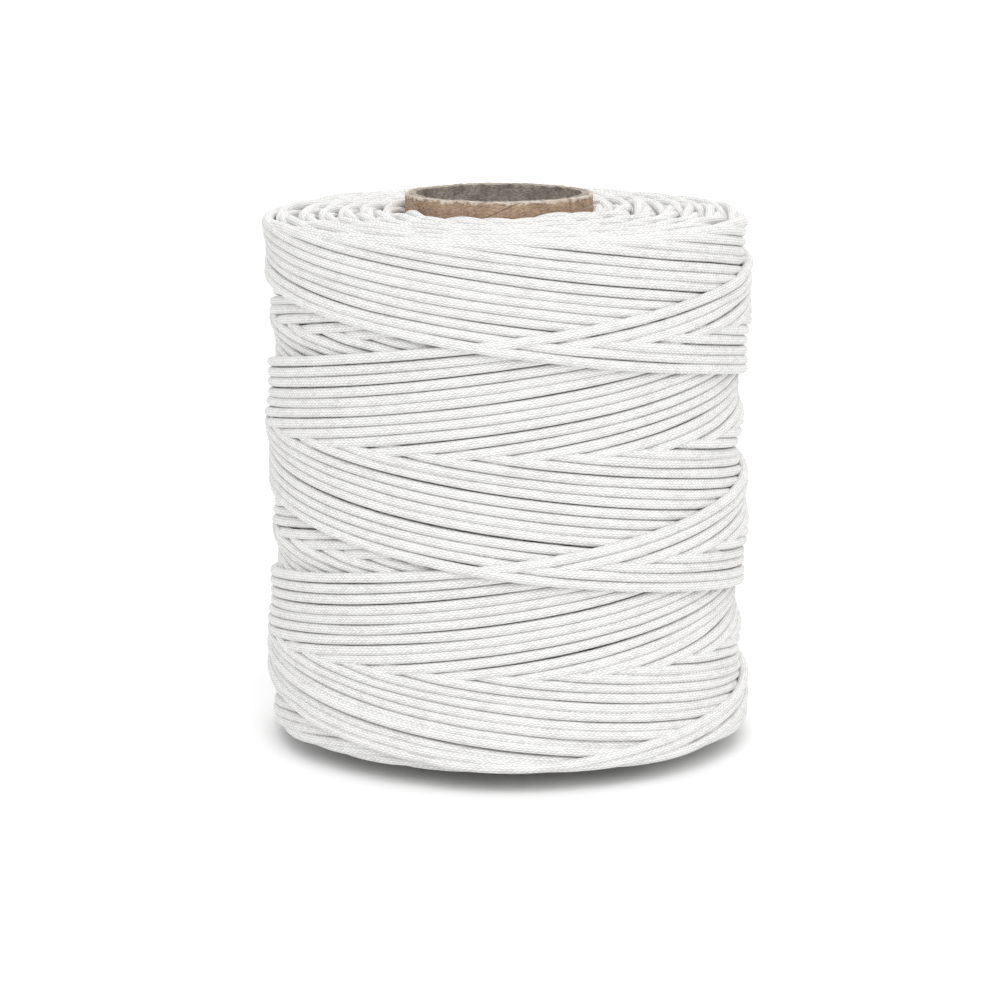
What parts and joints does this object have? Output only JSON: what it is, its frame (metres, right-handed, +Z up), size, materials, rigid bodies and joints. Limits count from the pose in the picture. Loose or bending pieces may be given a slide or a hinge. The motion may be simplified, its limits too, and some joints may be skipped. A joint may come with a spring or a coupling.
{
  "type": "waxed thread spool",
  "caption": "Cylindrical cross-wound package of white braided waxed thread on an open-ended spiral paper tube, for hand stitching leather.",
  "frame": {"origin": "on the bore's axis, in the plane of the tube's lower end", "axes": "+Z up along the bore; -Y is the side that the picture shows, +X to its right"},
  "size_m": [0.0461, 0.048, 0.0532],
  "materials": {
    "kraft_tube": "unprinted kraft paperboard, matt, with torn-fibre cut edges",
    "waxed_thread": "bright white braided polyester, lightly waxed, soft sheen"
  },
  "bodies": {
    "root": {"tube_inner_ply": "kraft_tube", "tube_middle_ply": "kraft_tube", "tube_outer_ply": "kraft_tube", "thread_start_end": "waxed_thread", "thread_covering_1": "waxed_thread", "thread_covering_2": "waxed_thread", "thread_covering_3": "waxed_thread", "thread_covering_4": "waxed_thread", "thread_covering_5": "waxed_thread", "thread_covering_6": "waxed_thread", "thread_covering_7": "waxed_thread", "thread_free_end": "waxed_thread"}
  },
  "joints": []
}
